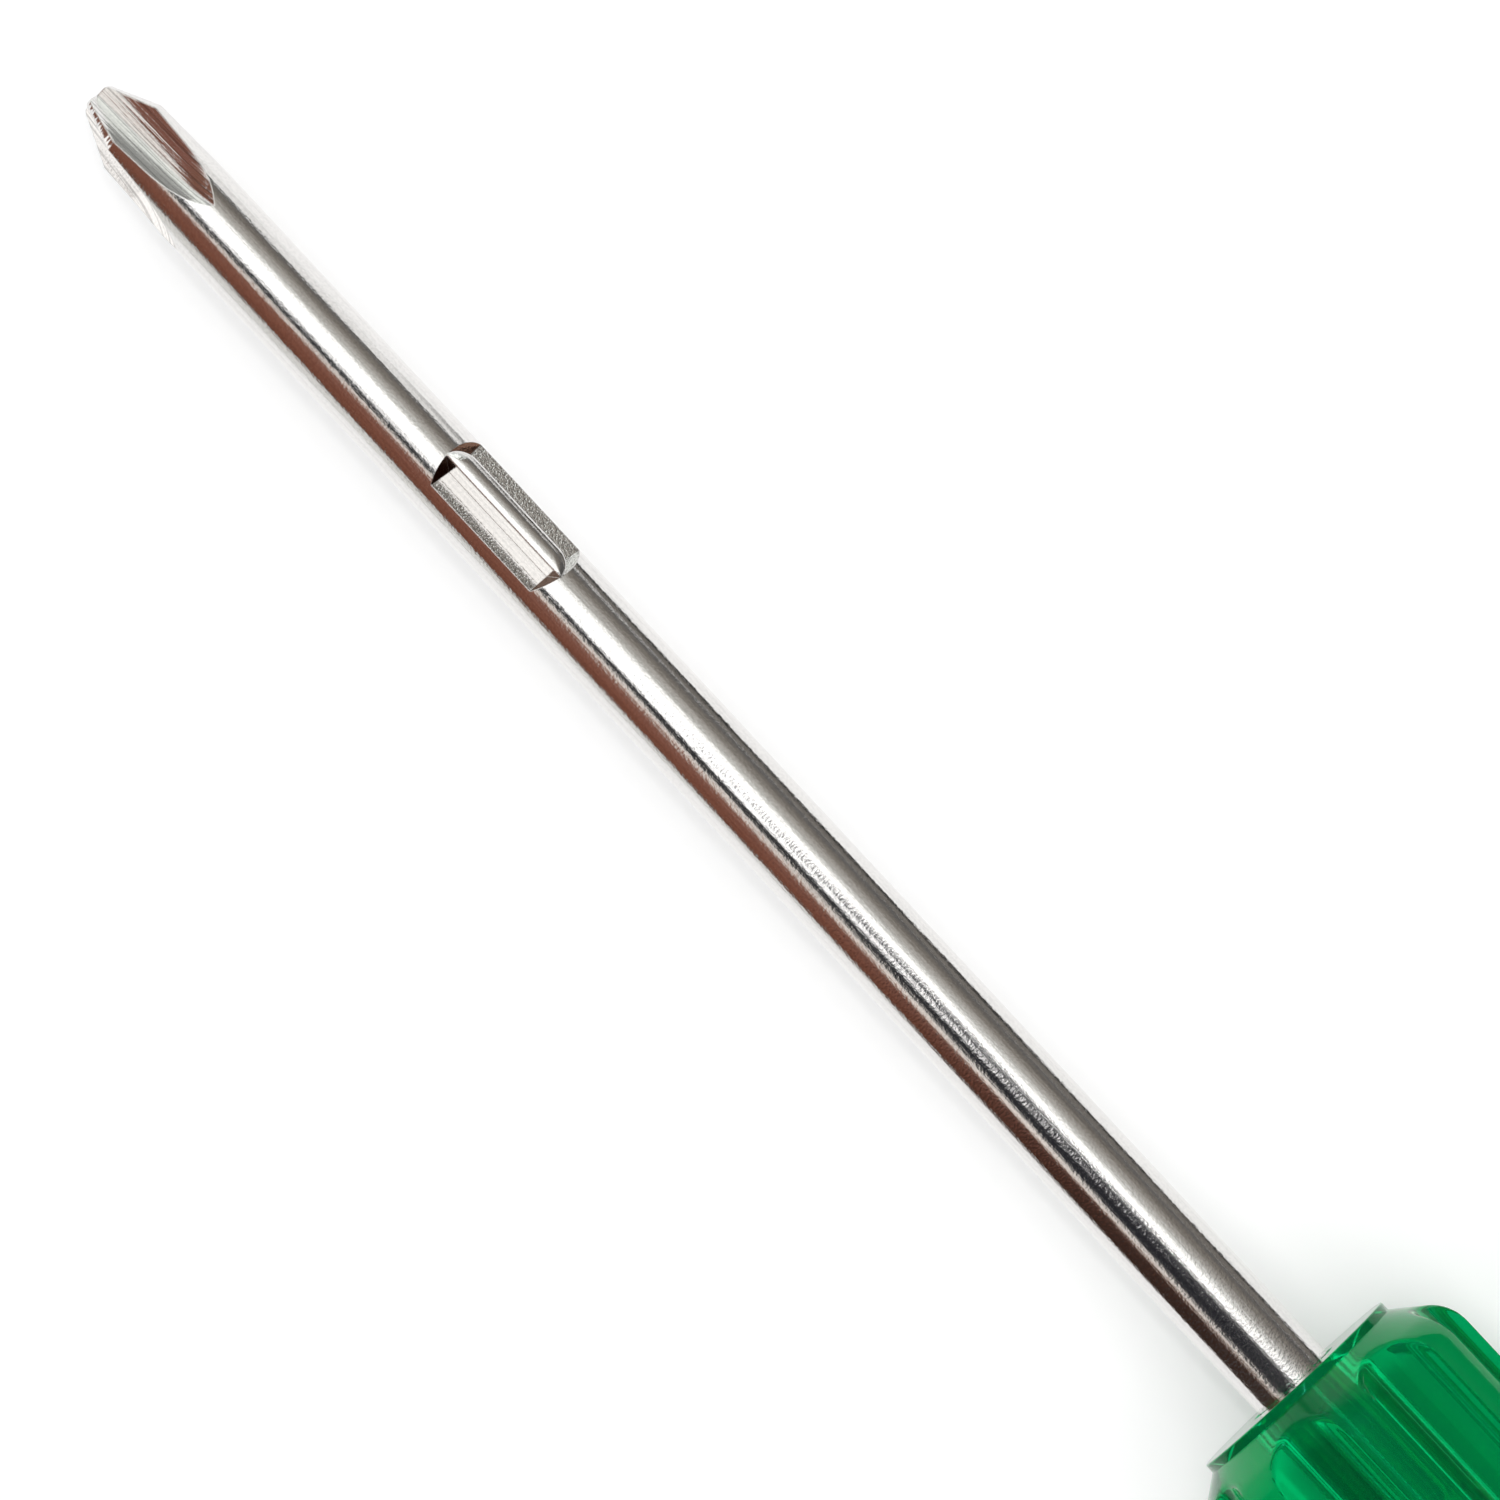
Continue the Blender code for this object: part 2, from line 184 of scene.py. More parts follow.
class Tree:
    """A node tree that is written as expressions."""

    def __init__(self, tree: bpy.types.NodeTree) -> None:
        """Empties a material's or the world's tree and keeps it."""
        self.tree = tree
        tree.nodes.clear()

    def node(
        self,
        kind: str,
        settings: Mapping[str, object] | None = None,
        inputs: Mapping[str | int, Feed] | None = None,
    ) -> bpy.types.Node:
        """Adds one node of any type.

        Args:
            kind: The node's type name.
            settings: Its properties, set first.
            inputs: Values or links for its sockets, by name or by number.

        Returns:
            The new node.
        """
        node = self.tree.nodes.new(kind)
        for name, value in (settings or {}).items():
            setattr(node, name, value)
        for name, value in (inputs or {}).items():
            source = value.socket if isinstance(value, Signal) else value
            if isinstance(source, Socket):
                self.tree.links.new(source, node.inputs[name])
            else:
                node.inputs[name].default_value = source
        return node

    def place(self) -> Socket:
        """The point's own coordinates on its piece, in metres."""
        return self.node("ShaderNodeTexCoord").outputs["Object"]

    def axes(self, vector: Socket) -> tuple[Signal, Signal, Signal]:
        """The three numbers of a vector."""
        node = self.node("ShaderNodeSeparateXYZ", inputs={0: vector})
        return tuple(Signal(self, output) for output in node.outputs)

    def vector(self, x: Number, y: Number, z: Number) -> Socket:
        """A vector of three numbers."""
        return self.node("ShaderNodeCombineXYZ", inputs={0: x, 1: y, 2: z}).outputs[0]

    def scaled(self, vector: Socket, factors: Point) -> Socket:
        """A vector times a number on each axis."""
        node = self.node("ShaderNodeVectorMath", {"operation": "MULTIPLY"}, {0: vector, 1: factors})
        return node.outputs[0]

    def noise(
        self, vector: Socket, factors: Point, detail: float = 2.0, rough: float = 0.5
    ) -> Signal:
        """Noise from 0 to 1.

        Args:
            vector: Where it is read, in metres.
            factors: Grains per metre along each axis.
            detail: How many finer layers it has.
            rough: How strong those layers are.

        Returns:
            The noise.
        """
        node = self.node(
            "ShaderNodeTexNoise",
            {"noise_dimensions": "3D"},
            {"Vector": self.scaled(vector, factors), "Scale": 1.0, "Detail": detail, "Roughness": rough},
        )
        return Signal(self, node.outputs["Fac"])

    def blend(self, factor: Number, first: Feed, second: Feed) -> Socket:
        """A colour from the first, at 0, to the second, at 1."""
        node = self.node("ShaderNodeMix", {"data_type": "RGBA"}, {0: factor, 6: first, 7: second})
        return node.outputs[2]

    def dial(self, turn: Signal, stops: Stops) -> Socket:
        """A colour that runs with an angle.

        Args:
            turn: The angle, in degrees.
            stops: (angle, colour) pairs in rising order.

        Returns:
            The colour.
        """
        first, width = stops[0][0], stops[-1][0] - stops[0][0]
        node = self.node("ShaderNodeValToRGB", inputs={"Fac": (turn - first) / width})
        marks = node.color_ramp.elements
        for index, (angle, colour) in enumerate(stops):
            place = (angle - first) / width
            stop = marks[index] if index < 2 else marks.new(place)
            stop.position, stop.color = place, rgba(colour)
        return node.outputs[0]

    def seen(self) -> Signal:
        """Which rays show what stands round the object.

        Returns:
            1 for rays from the camera, gloss and glass, and 0 for the rest.
        """
        rays = self.node("ShaderNodeLightPath")
        seen = Signal(self, rays.outputs["Is Camera Ray"])
        for name in ("Is Glossy Ray", "Is Transmission Ray"):
            seen = seen.largest(Signal(self, rays.outputs[name]))
        return seen

    def bump(self, height: Signal, metres: float, **normal: Socket) -> Socket:
        """A normal, the face's own unless one is given, tilted by a height that is metres deep at 1."""
        inputs = {"Strength": 1.0, "Distance": metres, "Height": height, **normal}
        return self.node("ShaderNodeBump", inputs=inputs).outputs[0]

    def glow(self, colour: Feed, strength: Number) -> Socket:
        """What a surface gives that shines with a colour."""
        return self.node("ShaderNodeEmission", inputs={"Color": colour, "Strength": strength}).outputs[0]

    def close(self, material: bpy.types.Material, **outputs: Socket) -> bpy.types.Material:
        """Links the Surface, and the Volume if there is one, and returns the material."""
        self.node("ShaderNodeOutputMaterial", inputs=outputs)
        return material


def rgba(colour: Colour, share: float = 1.0) -> tuple[float, float, float, float]:
    """A share of a colour's light, with full alpha."""
    return (*(share * part for part in colour), 1.0)


def across_tool(y: Number, z: Number, turn: float) -> tuple[Number, Number]:
    """How far out a place lies towards a turned tool, and how far beside the tool's middle."""
    return y * math.sin(turn) - z * math.cos(turn), y * math.cos(turn) + z * math.sin(turn)


def new_tree(name: str) -> tuple[bpy.types.Material, Tree]:
    """A new material and its empty tree.

    Args:
        name: The material's name.

    Returns:
        The material and its tree.
    """
    material = bpy.data.materials.new(name)
    material.use_nodes = True
    return material, Tree(material.node_tree)


# Finishes


@dataclass(frozen=True)
class SteelFinish:
    """Bright plated steel, and how its surface was worked before plating.

    Grains are per metre, reaches in metres and spans where a rise starts and ends.
    """

    name: str
    colour: Colour = (0.78, 0.765, 0.75)
    worn_share: float = 0.45
    roughness: float = 0.06
    roughness_spread: float = 0.03
    edge_round: float = 0.00011
    bump_height: float = 0.000030
    cloud_grains: Point = (220.0, 420.0, 420.0)
    peel: float = 0.34
    peel_grains: float = 5200.0
    lines: float = 0.25
    line_grains: Point = (90.0, 3600.0, 3600.0)
    line_turn: float | None = None
    line_tone: float = 0.10
    line_span: Span = (0.38, 0.54)
    line_rough: float = 0.04
    grit: float = 0.0
    grit_grains: float = 5000.0
    grit_tone: float = 0.12
    grit_span: Span = (0.38, 0.56)
    rings: float = 0.0
    ring_grains: Point = (2600.0, 40.0, 40.0)
    stain_span: Span = (-0.105, -0.113)
    stain_cloud: Span = (0.50, 0.68)
    stain_ragged: float = 0.004
    speck_grains: float = 2600.0
    speck_span: Span = (0.66, 0.72)
    speck_colour: Colour = (0.20, 0.11, 0.07)
    speck_cover: float = 0.75
    speck_rough: float = 0.25
    rub_turn: float | None = None
    rub_reach: float = 0.00170
    rub_blur: float = 0.00012

    def line_place(self, tree: Tree, x: Signal, y: Signal, z: Signal) -> Socket:
        """Where a point lies for the lines, which follow the grooves of a cross.

        Args:
            tree: The material's nodes.
            x: The point's place along the blade.
            y: Its place across.
            z: Its height.

        Returns:
            The place, as a vector.
        """
        if self.line_turn is None:
            return tree.vector(x, y, z)
        along, beside = (abs(part) for part in across_tool(y, z, self.line_turn))
        nearest = -(-along).largest(-beside)
        return tree.vector(x, nearest, nearest)

    def rubbed(self, y: Signal, z: Signal) -> Number:
        """How far the die has rubbed a pressed flat smooth, beside the rib on its one side.

        Args:
            y: The point's place across.
            z: Its height.

        Returns:
            The share, 0 where the flat keeps its grains.
        """
        if self.rub_turn is None:
            return 0.0
        level, beside = across_tool(y, z, self.rub_turn)
        side = (level * beside).step(0.0, -self.rub_reach * self.rub_blur)
        return side * abs(beside).step(self.rub_reach + self.rub_blur, self.rub_reach - self.rub_blur)

    def material(self) -> bpy.types.Material:
        """Builds the finish.

        Returns:
            The material.
        """
        material, tree = new_tree(self.name)
        place = tree.place()
        x, y, z = tree.axes(place)
        peel = tree.noise(place, (self.peel_grains,) * 3, 2.0, 0.55)
        lines = tree.noise(self.line_place(tree, x, y, z), self.line_grains, 2.0, 0.6)
        cloud = tree.noise(place, self.cloud_grains, 3.0, 0.6)
        grit = tree.noise(place, (self.grit_grains,) * 3, 1.0, 0.5)
        kept = 1.0 - self.rubbed(y, z)
        height = peel * self.peel + lines * self.lines + grit * self.grit * kept
        if self.rings:
            height = height + tree.noise(place, self.ring_grains, 1.0, 0.4) * self.rings
        stain = (x + cloud * self.stain_ragged).step(*self.stain_span) * cloud.step(*self.stain_cloud)
        speck = tree.noise(place, (self.speck_grains,) * 3, 1.0, 0.4).step(*self.speck_span) * stain
        scored = (1.0 - lines.step(*self.line_span)) * self.line_tone
        pitted = (1.0 - grit.step(*self.grit_span)) * self.grit_tone * kept
        worn = tree.blend(scored + pitted, rgba(self.colour), rgba(self.colour, self.worn_share))
        dulled = lines * self.line_rough + speck * self.speck_rough
        edge = tree.node("ShaderNodeBevel", {"samples": 4}, {"Radius": self.edge_round})
        shader = tree.node(
            "ShaderNodeBsdfPrincipled",
            inputs={
                "Base Color": tree.blend(speck * self.speck_cover, worn, rgba(self.speck_colour)),
                "Metallic": 1.0,
                "Roughness": self.roughness + cloud * self.roughness_spread + dulled,
                "Normal": tree.bump(height, self.bump_height, Normal=edge.outputs[0]),
            },
        )
        return tree.close(material, Surface=shader.outputs[0])


@dataclass(frozen=True)
class AcetateFinish:
    """Clear green cellulose acetate: tinted at its skin, deeper where it is thick, with painted shade in
    the flutes.
    """

    name: str = "green_acetate"
    tint: Colour = (0.001, 0.74, 0.26)
    cloud_grains: Point = (60.0, 160.0, 160.0)
    cloud_span: Span = (0.35, 0.65)
    cloud_share: float = 0.9
    cloud_rough: float = 0.05
    cloud_height: float = 0.6
    line_grains: Point = (40.0, 2200.0, 2200.0)
    line_rough: float = 0.02
    line_height: float = 0.12
    bump_height: float = 0.00003
    flute_shade_tint: Colour = (0.0005, 0.36, 0.12)
    flute_shade_cover: float = 0.6
    flute_span: Span = (0.0103, 0.0098)
    flute_start: Span = (-0.1176, -0.1192)
    depth_colour: Colour = (0.01, 0.88, 0.55)
    density: float = 34.0
    clearness: float = 0.88
    gloss_tint: Colour = (0.02, 0.24, 0.17)
    ior: float = 1.475
    roughness: float = 0.05

    def material(self) -> bpy.types.Material:
        """Builds the finish.

        Returns:
            The material.
        """
        material, tree = new_tree(self.name)
        place = tree.place()
        x, y, z = tree.axes(place)
        cloud = tree.noise(place, self.cloud_grains, 3.0, 0.6)
        lines = tree.noise(place, self.line_grains, 2.0, 0.5)
        skin = tree.blend(
            cloud.step(*self.cloud_span), rgba(self.tint), rgba(self.tint, self.cloud_share)
        )
        # Painted shade: the flutes' floors get a darker green base colour, from just behind the nose back.
        land, floor = self.flute_span
        flute_shade = (y * y + z * z).step(land**2, floor**2) * x.step(*self.flute_start)
        height = cloud * self.cloud_height + lines * self.line_height
        shader = tree.node(
            "ShaderNodeBsdfPrincipled",
            inputs={
                "Base Color": tree.blend(flute_shade * self.flute_shade_cover, skin, rgba(self.flute_shade_tint)),
                "Roughness": self.roughness + cloud * self.cloud_rough + lines * self.line_rough,
                "IOR": self.ior,
                "Specular Tint": rgba(self.gloss_tint),
                "Transmission Weight": self.clearness,
                "Normal": tree.bump(height, self.bump_height),
            },
        )
        volume = tree.node(
            "ShaderNodeVolumeAbsorption",
            inputs={"Color": rgba(self.depth_colour), "Density": self.density},
        )
        return tree.close(material, Surface=shader.outputs[0], Volume=volume.outputs[0])


# Mesh work


def new_object(name: str, data: bpy.types.ID) -> Piece:
    """Puts an object in the scene.

    Args:
        name: The object's name.
        data: Its mesh, curve, light or camera.

    Returns:
        The object.
    """
    obj = bpy.data.objects.new(name, data)
    bpy.context.scene.collection.objects.link(obj)
    return obj


def shape_object(name: str, shape: bmesh.types.BMesh) -> Piece:
    """Makes an object of a bmesh, with its faces turned outwards.

    Args:
        name: The object's name.
        shape: The bmesh, which is freed.

    Returns:
        The object.
    """
    bmesh.ops.recalc_face_normals(shape, faces=shape.faces)
    mesh = bpy.data.meshes.new(name)
    shape.to_mesh(mesh)
    shape.free()
    return new_object(name, mesh)


def solid(name: str, points: Sequence[Sequence[float]], faces: Sequence[Sequence[int]]) -> Piece:
    """Makes an object of points and faces.

    Args:
        name: The object's name.
        points: The places of its corners.
        faces: The corners of each face.

    Returns:
        The object.
    """
    mesh = bpy.data.meshes.new(name)
    mesh.from_pydata(points, [], faces)
    shape = bmesh.new()
    shape.from_mesh(mesh)
    bpy.data.meshes.remove(mesh)
    return shape_object(name, shape)


def sheet(name: str, sides: tuple[Span, Span], level: float) -> Piece:
    """A level sheet.

    Args:
        name: The object's name.
        sides: Where it starts and ends along X, and along Y.
        level: Its height.

    Returns:
        The object.
    """
    (left, right), (front, back) = sides
    corners = [(left, front, level), (right, front, level), (right, back, level), (left, back, level)]
    return solid(name, corners, [(0, 1, 2, 3)])


def wrapped_grid(name: str, rows: np.ndarray, top: Point, foot: Point) -> Piece:
    """A closed skin round the axis.

    Args:
        name: The object's name.
        rows: Points as (row, column, xyz), from the first pole to the second.
        top: The pole before the first row.
        foot: The pole after the last row.

    Returns:
        The object.
    """
    count, columns, _ = rows.shape
    points = np.concatenate([rows.reshape(-1, 3), [top, foot]])
    here = np.arange(columns)
    right = (here + 1) % columns
    faces: list[tuple[int, ...]] = []
    for row in range(count - 1):
        above, below = row * columns, (row + 1) * columns
        faces += zip(above + here, above + right, below + right, below + here)
    pole, last = count * columns, (count - 1) * columns
    faces += [(pole, b, a) for a, b in zip(here, right)]
    faces += [(pole + 1, last + a, last + b) for a, b in zip(here, right)]
    return solid(name, points.tolist(), [tuple(int(i) for i in face) for face in faces])


def row_points(reach: np.ndarray, turns: np.ndarray, height: float) -> np.ndarray:
    """One row round the axis as (column, xyz), of radii, angles and a height."""
    return np.stack([reach * np.cos(turns), reach * np.sin(turns), np.full(turns.shape, height)], axis=1)


def arc(centre: Span, radius: float, start: float, end: float, count: int) -> list[Span]:
    """Points on an arc of a profile.

    Args:
        centre: Its (radius, height) middle.
        radius: The arc's own radius.
        start: The angle that it starts at, from straight outwards towards up.
        end: The angle that it ends at.
        count: How many points it has.

    Returns:
        (radius, height) points.
    """
    return [
        (centre[0] + radius * math.cos(turn), centre[1] + radius * math.sin(turn))
        for turn in np.linspace(start, end, count)
    ]


def lathe(name: str, profile: Sequence[Span], steps: int) -> Piece:
    """A turned solid.

    Args:
        name: The object's name.
        profile: (radius, height) points between the poles, from the top down, poles included.
        steps: Faces round the axis.

    Returns:
        The object.
    """
    turns = np.arange(steps) * FULL_TURN / steps
    rows = [row_points(np.full(steps, radius), turns, height) for radius, height in profile[1:-1]]
    return wrapped_grid(name, np.array(rows), (0, 0, profile[0][1]), (0, 0, profile[-1][1]))


def hull(name: str, points: Iterable[Point]) -> Piece:
    """The convex solid round some points.

    Args:
        name: The object's name.
        points: The points.

    Returns:
        The object.
    """
    shape = bmesh.new()
    for point in points:
        shape.verts.new(point)
    made = bmesh.ops.convex_hull(shape, input=shape.verts)
    loose = {v for v in made["geom_interior"] + made["geom_unused"] if isinstance(v, bmesh.types.BMVert)}
    bmesh.ops.delete(shape, geom=list(loose), context="VERTS")
    return shape_object(name, shape)


def smooth_least(first: np.ndarray, second: np.ndarray, blend: float) -> np.ndarray:
    """The smaller of two radii, rounded where they come closer than blend."""
    overlap = np.clip(blend - np.abs(first - second), 0, None) / blend
    return np.minimum(first, second) - overlap**2 * blend / 4


def ground_slots(piece: Piece) -> None:
    """Gives a piece one empty material slot for each kind of ground."""
    for _ in Ground:
        piece.data.materials.append(None)


@dataclass
class Carving:
    """A blank, and the tools that cut it or grow on it, worked in order."""

    blank: Piece
    tools: list[Piece] = field(default_factory=list)

    def work(self, tool: Piece, operation: str, turn: float, ground: Ground) -> None:
        """Adds one Boolean.

        Args:
            tool: The other solid.
            operation: DIFFERENCE or UNION.
            turn: How far the tool is turned round the axis.
            ground: The finish of the faces that it leaves.
        """
        tool.data.transform(Matrix.Rotation(turn, 4, "Z"))
        ground_slots(tool)
        tool.data.polygons.foreach_set("material_index", [ground.value] * len(tool.data.polygons))
        change = self.blank.modifiers.new(tool.name, "BOOLEAN")
        change.operation = operation
        change.object = tool
        change.solver = "EXACT"
        change.material_mode = "INDEX"
        self.tools.append(tool)

    def finish(self) -> Piece:
        """Keeps what the Booleans make, and clears the tools away.

        Returns:
            The worked piece.
        """
        bpy.context.view_layer.update()
        graph = bpy.context.evaluated_depsgraph_get()
        mesh = bpy.data.meshes.new_from_object(self.blank.evaluated_get(graph))
        self.blank.modifiers.clear()
        self.blank.data = mesh
        for tool in self.tools:
            bpy.data.objects.remove(tool, do_unlink=True)
        return self.blank


def lay_along_x(piece: Piece) -> None:
    """Turns a piece from local Z onto the blade's direction, and shades it smooth.

    Args:
        piece: The piece, whose sharp edges stay sharp.
    """
    piece.data.transform(AXIS_TURN)
    piece.data.update()
    piece.data.shade_smooth()
    piece.data.set_sharp_from_angle(angle=SHARP_ANGLE)


def seat(piece: Piece, body: Body, node: str) -> None:
    """Fits a finished piece to the frame.

    Args:
        piece: The piece, in place.
        body: The body that it moves with.
        node: The CAD node that it stands for.
    """
    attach(piece, body.value)
    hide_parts(node)
    faces = len(piece.data.polygons) if piece.type == "MESH" else 0
    LOG.info("%s: %d faces, on %s, for %s", piece.name, faces, body.value, node)


# Blade


@dataclass
class Blade:
    """The reversible blade: cross tip, two pressed ears and the flat tip that the handle hides."""

    radius: float = 0.0030
    length: float = 0.1611
    steps: int = 192
    tip_end_radius: float = 0.00135
    tip_end_chamfer: float = 0.00022
    tip_cone: float = math.radians(26.5)
    tip_turn: float = math.radians(29.0)
    wings: int = 4
    core: float = 0.00056
    taper: float = math.radians(5.75)
    straight: float = 0.0064
    wheel_radius: float = 0.01005
    root_half: float = 0.00095
    root_flank: float = math.radians(57)
    outer_flank: float = math.radians(47.4)
    wheel_steps: int = 720
    flat_thickness: float = 0.0010
    flat_grind: float = 0.014
    end_chamfer: float = 0.00025
    ear_from_end: float = 0.0391
    ear_turn: float = math.radians(40.7)
    ear_flat_length: float = 0.0094
    ear_ramp: float = 0.0008
    ear_flat_height: float = 0.00178
    rib_width: float = 0.00144
    rib_rise: float = 0.00036
    rib_arch: float = 0.0014
    rib_corner: float = 0.00006
    rib_nose: float = 0.0016
    rib_skew: float = -0.00062
    rib_corner_rows: int = 5
    rib_arch_rows: int = 7
    rib_columns: int = 64
    flat_slope: float = math.radians(3)
    ramp_lean: float = 0.3
    overrun: float = 0.0030

    def blank(self) -> Piece:
        """The turned bar, before grinding and pressing.

        Returns:
            The bar.
        """
        top = -self.tip_end_chamfer
        waist = top - (self.radius - self.tip_end_radius) / math.tan(self.tip_cone)
        foot = -self.length
        profile = [
            (0.0, 0.0),
            (self.tip_end_radius - self.tip_end_chamfer, 0.0),
            (self.tip_end_radius, top),
            (self.radius, waist),
            (self.radius, foot + self.end_chamfer),
            (self.radius - self.end_chamfer, foot),
            (0.0, foot),
        ]
        bar = lathe("blade_steel", profile, self.steps)
        ground_slots(bar)
        for face in bar.data.polygons:
            turned = not foot + self.end_chamfer < face.center.z < waist
            face.material_index = (Ground.TURNED if turned else Ground.PLATED).value
        return bar

    def groove_wheel(self) -> Piece:
        """What one V-rimmed grinding wheel sweeps through the tip.

        Returns:
            The swept solid.
        """
        root = self.core + self.straight * math.tan(self.taper)
        height = -self.straight + self.wheel_radius * math.sin(self.taper)
        distance = root + self.wheel_radius * math.cos(self.taper)
        run = self.straight + self.overrun
        shoulder = self.wheel_radius - self.root_half / math.tan(self.root_flank)
        flank = shoulder - (self.radius - self.root_half) / math.tan(self.outer_flank)
        half = ((self.root_half, shoulder), (self.radius, flank))
        rims = [(0.0, self.wheel_radius)] + [(side * w, rim) for w, rim in half for side in (-1, 1)]
        points = []
        for back in (0.0, run):
            centre = (distance - back * math.tan(self.taper), height + back)
            for side, rim in rims:
                for turn in np.linspace(0, FULL_TURN, self.wheel_steps, endpoint=False):
                    points.append(
                        (centre[0] + rim * math.cos(turn), side, centre[1] + rim * math.sin(turn))
                    )
        return hull("groove_wheel", points)

    def grinding_wheel(self) -> Piece:
        """The large wheel that hollows one side of the flat tip.

        Returns:
            The wheel.
        """
        rise = self.radius - self.flat_thickness / 2
        radius = (self.flat_grind**2 + rise**2) / (2 * rise)
        points = [
            (
                self.flat_thickness / 2 + radius - radius * math.cos(turn),
                side,
                -self.length + radius * math.sin(turn),
            )
            for side in (-2 * self.radius, 2 * self.radius)
            for turn in np.linspace(-math.pi, math.pi, self.wheel_steps, endpoint=False)
        ]
        return hull("grinding_wheel", points)

    def flats_bar(self, height: float) -> Piece:
        """The tool that presses the two flats beside a rib, which rise a little away from it.

        Args:
            height: The ear's middle.

        Returns:
            The bar.
        """
        ramp = self.ear_ramp / (self.radius - self.ear_flat_height)
        wide = 2 * self.radius
        ridge = self.ear_flat_height - self.rib_width / 2 * math.tan(self.flat_slope)
        foot = ridge + wide * math.tan(self.flat_slope)
        top = self.radius + self.overrun
        section = ((top, -wide), (foot, -wide), (ridge, 0.0), (foot, wide), (top, wide))
        points = []
        for end in (-1, 1):
            for level, across in section:
                half_length = self.ear_flat_length / 2 + ramp * (level - self.ear_flat_height)
                points.append((level, across, height + end * half_length))
        count = len(section)
        faces = [tuple(range(count)), tuple(range(count, 2 * count))]
        for i in range(count):
            before = (i - 1) % count
            faces.append((before, i, count + i, count + before))
        return solid("flats_bar", points, faces)

    def rib(self, height: float) -> Piece:
        """One ear's rib, right through the shank: a bar with round ends and domed tops.

        Args:
            height: The ear's middle.

        Returns:
            The rib.
        """
        half = self.rib_width / 2
        reach = (self.ear_flat_length + 2 * self.ear_ramp) / 2 - self.rib_nose
        top = self.radius + self.rib_rise
        outline = [(half, top - self.arch_drop(half) - self.rib_corner)]
        for turn in np.linspace(0, math.pi / 2, self.rib_corner_rows)[1:]:
            inset = half - self.rib_corner * (1 - math.cos(turn))
            outline.append((inset, top - self.arch_drop(inset) - self.rib_corner * (1 - math.sin(turn))))
        arch = np.linspace(outline[-1][0], 0, self.rib_arch_rows)[1:]
        outline += [(inset, top - self.arch_drop(inset)) for inset in arch]
        points = []
        for width, level in outline:
            share = width / half
            for place in np.linspace(0, FULL_TURN, self.rib_columns, endpoint=False):
                end = reach if math.sin(place) >= 0 else -reach
                along = end + self.rib_nose * share * math.sin(place)
                tip = self.rib_skew * share
                across = tip + (math.copysign(width, math.cos(place)) - tip) * abs(math.cos(place))
                for side in (-1, 1):
                    points.append((side * level, side * across, height + along))
        return hull("rib", points)

    def arch_drop(self, inset: float) -> float:
        """How far the rib's arched top has dropped at a distance from its middle."""
        return self.rib_arch - math.sqrt(self.rib_arch**2 - inset**2)

    def build(self) -> Piece:
        """Makes the blade.

        Returns:
            The blade, along X.
        """
        carving = Carving(self.blank())
        for wheel, count in ((self.groove_wheel, self.wings), (self.grinding_wheel, 2)):
            for index in range(count):
                turn = self.tip_turn + FULL_TURN * index / count
                carving.work(wheel(), "DIFFERENCE", turn, Ground.GROOVE)
        for height in (-self.ear_from_end, self.ear_from_end - self.length):
            for turn in (self.ear_turn, self.ear_turn + math.pi):
                carving.work(self.flats_bar(height), "DIFFERENCE", turn, Ground.PRESSED)
            carving.work(self.rib(height), "UNION", self.ear_turn, Ground.PLATED)
        piece = carving.finish()
        lay_along_x(piece)
        for face in piece.data.polygons:
            if face.material_index == Ground.PRESSED.value and abs(face.normal.x) > self.ramp_lean:
                level, beside = across_tool(*face.center.yz, self.ear_turn)
                if level * beside < 0 or face.normal.x < 0:
                    face.material_index = Ground.RAMP.value
        return piece

    def dress(self, piece: Piece) -> None:
        """Gives each kind of face its finish.

        Args:
            piece: The blade.
        """
        finishes = {
            Ground.PLATED: SteelFinish("plated_steel_shank"),
            Ground.TURNED: SteelFinish(
                "plated_steel_turned", edge_round=0.00018, peel=0.1, lines=0.0, rings=1.8
            ),
            Ground.GROOVE: SteelFinish(
                "plated_steel_ground", edge_round=0.00018, peel=0.15, lines=0.4, line_tone=0.55,
                line_turn=self.tip_turn,
            ),
            Ground.PRESSED: SteelFinish(
                "plated_steel_pressed", peel=0.2, lines=0.05, grit=1.2, grit_grains=7500.0, grit_tone=0.6,
                rub_turn=self.ear_turn,
            ),
            # Painted reflection: the ramps' steel gets a dark brown base colour for what they mirror.
            Ground.RAMP: SteelFinish(
                "ramp_painted_reflection", colour=(0.17, 0.09, 0.06), peel=0.2, lines=0.1, grit=0.4, grit_tone=0.4
            ),
        }
        for ground, finish in finishes.items():
            piece.data.materials[ground.value] = finish.material()


# Handle


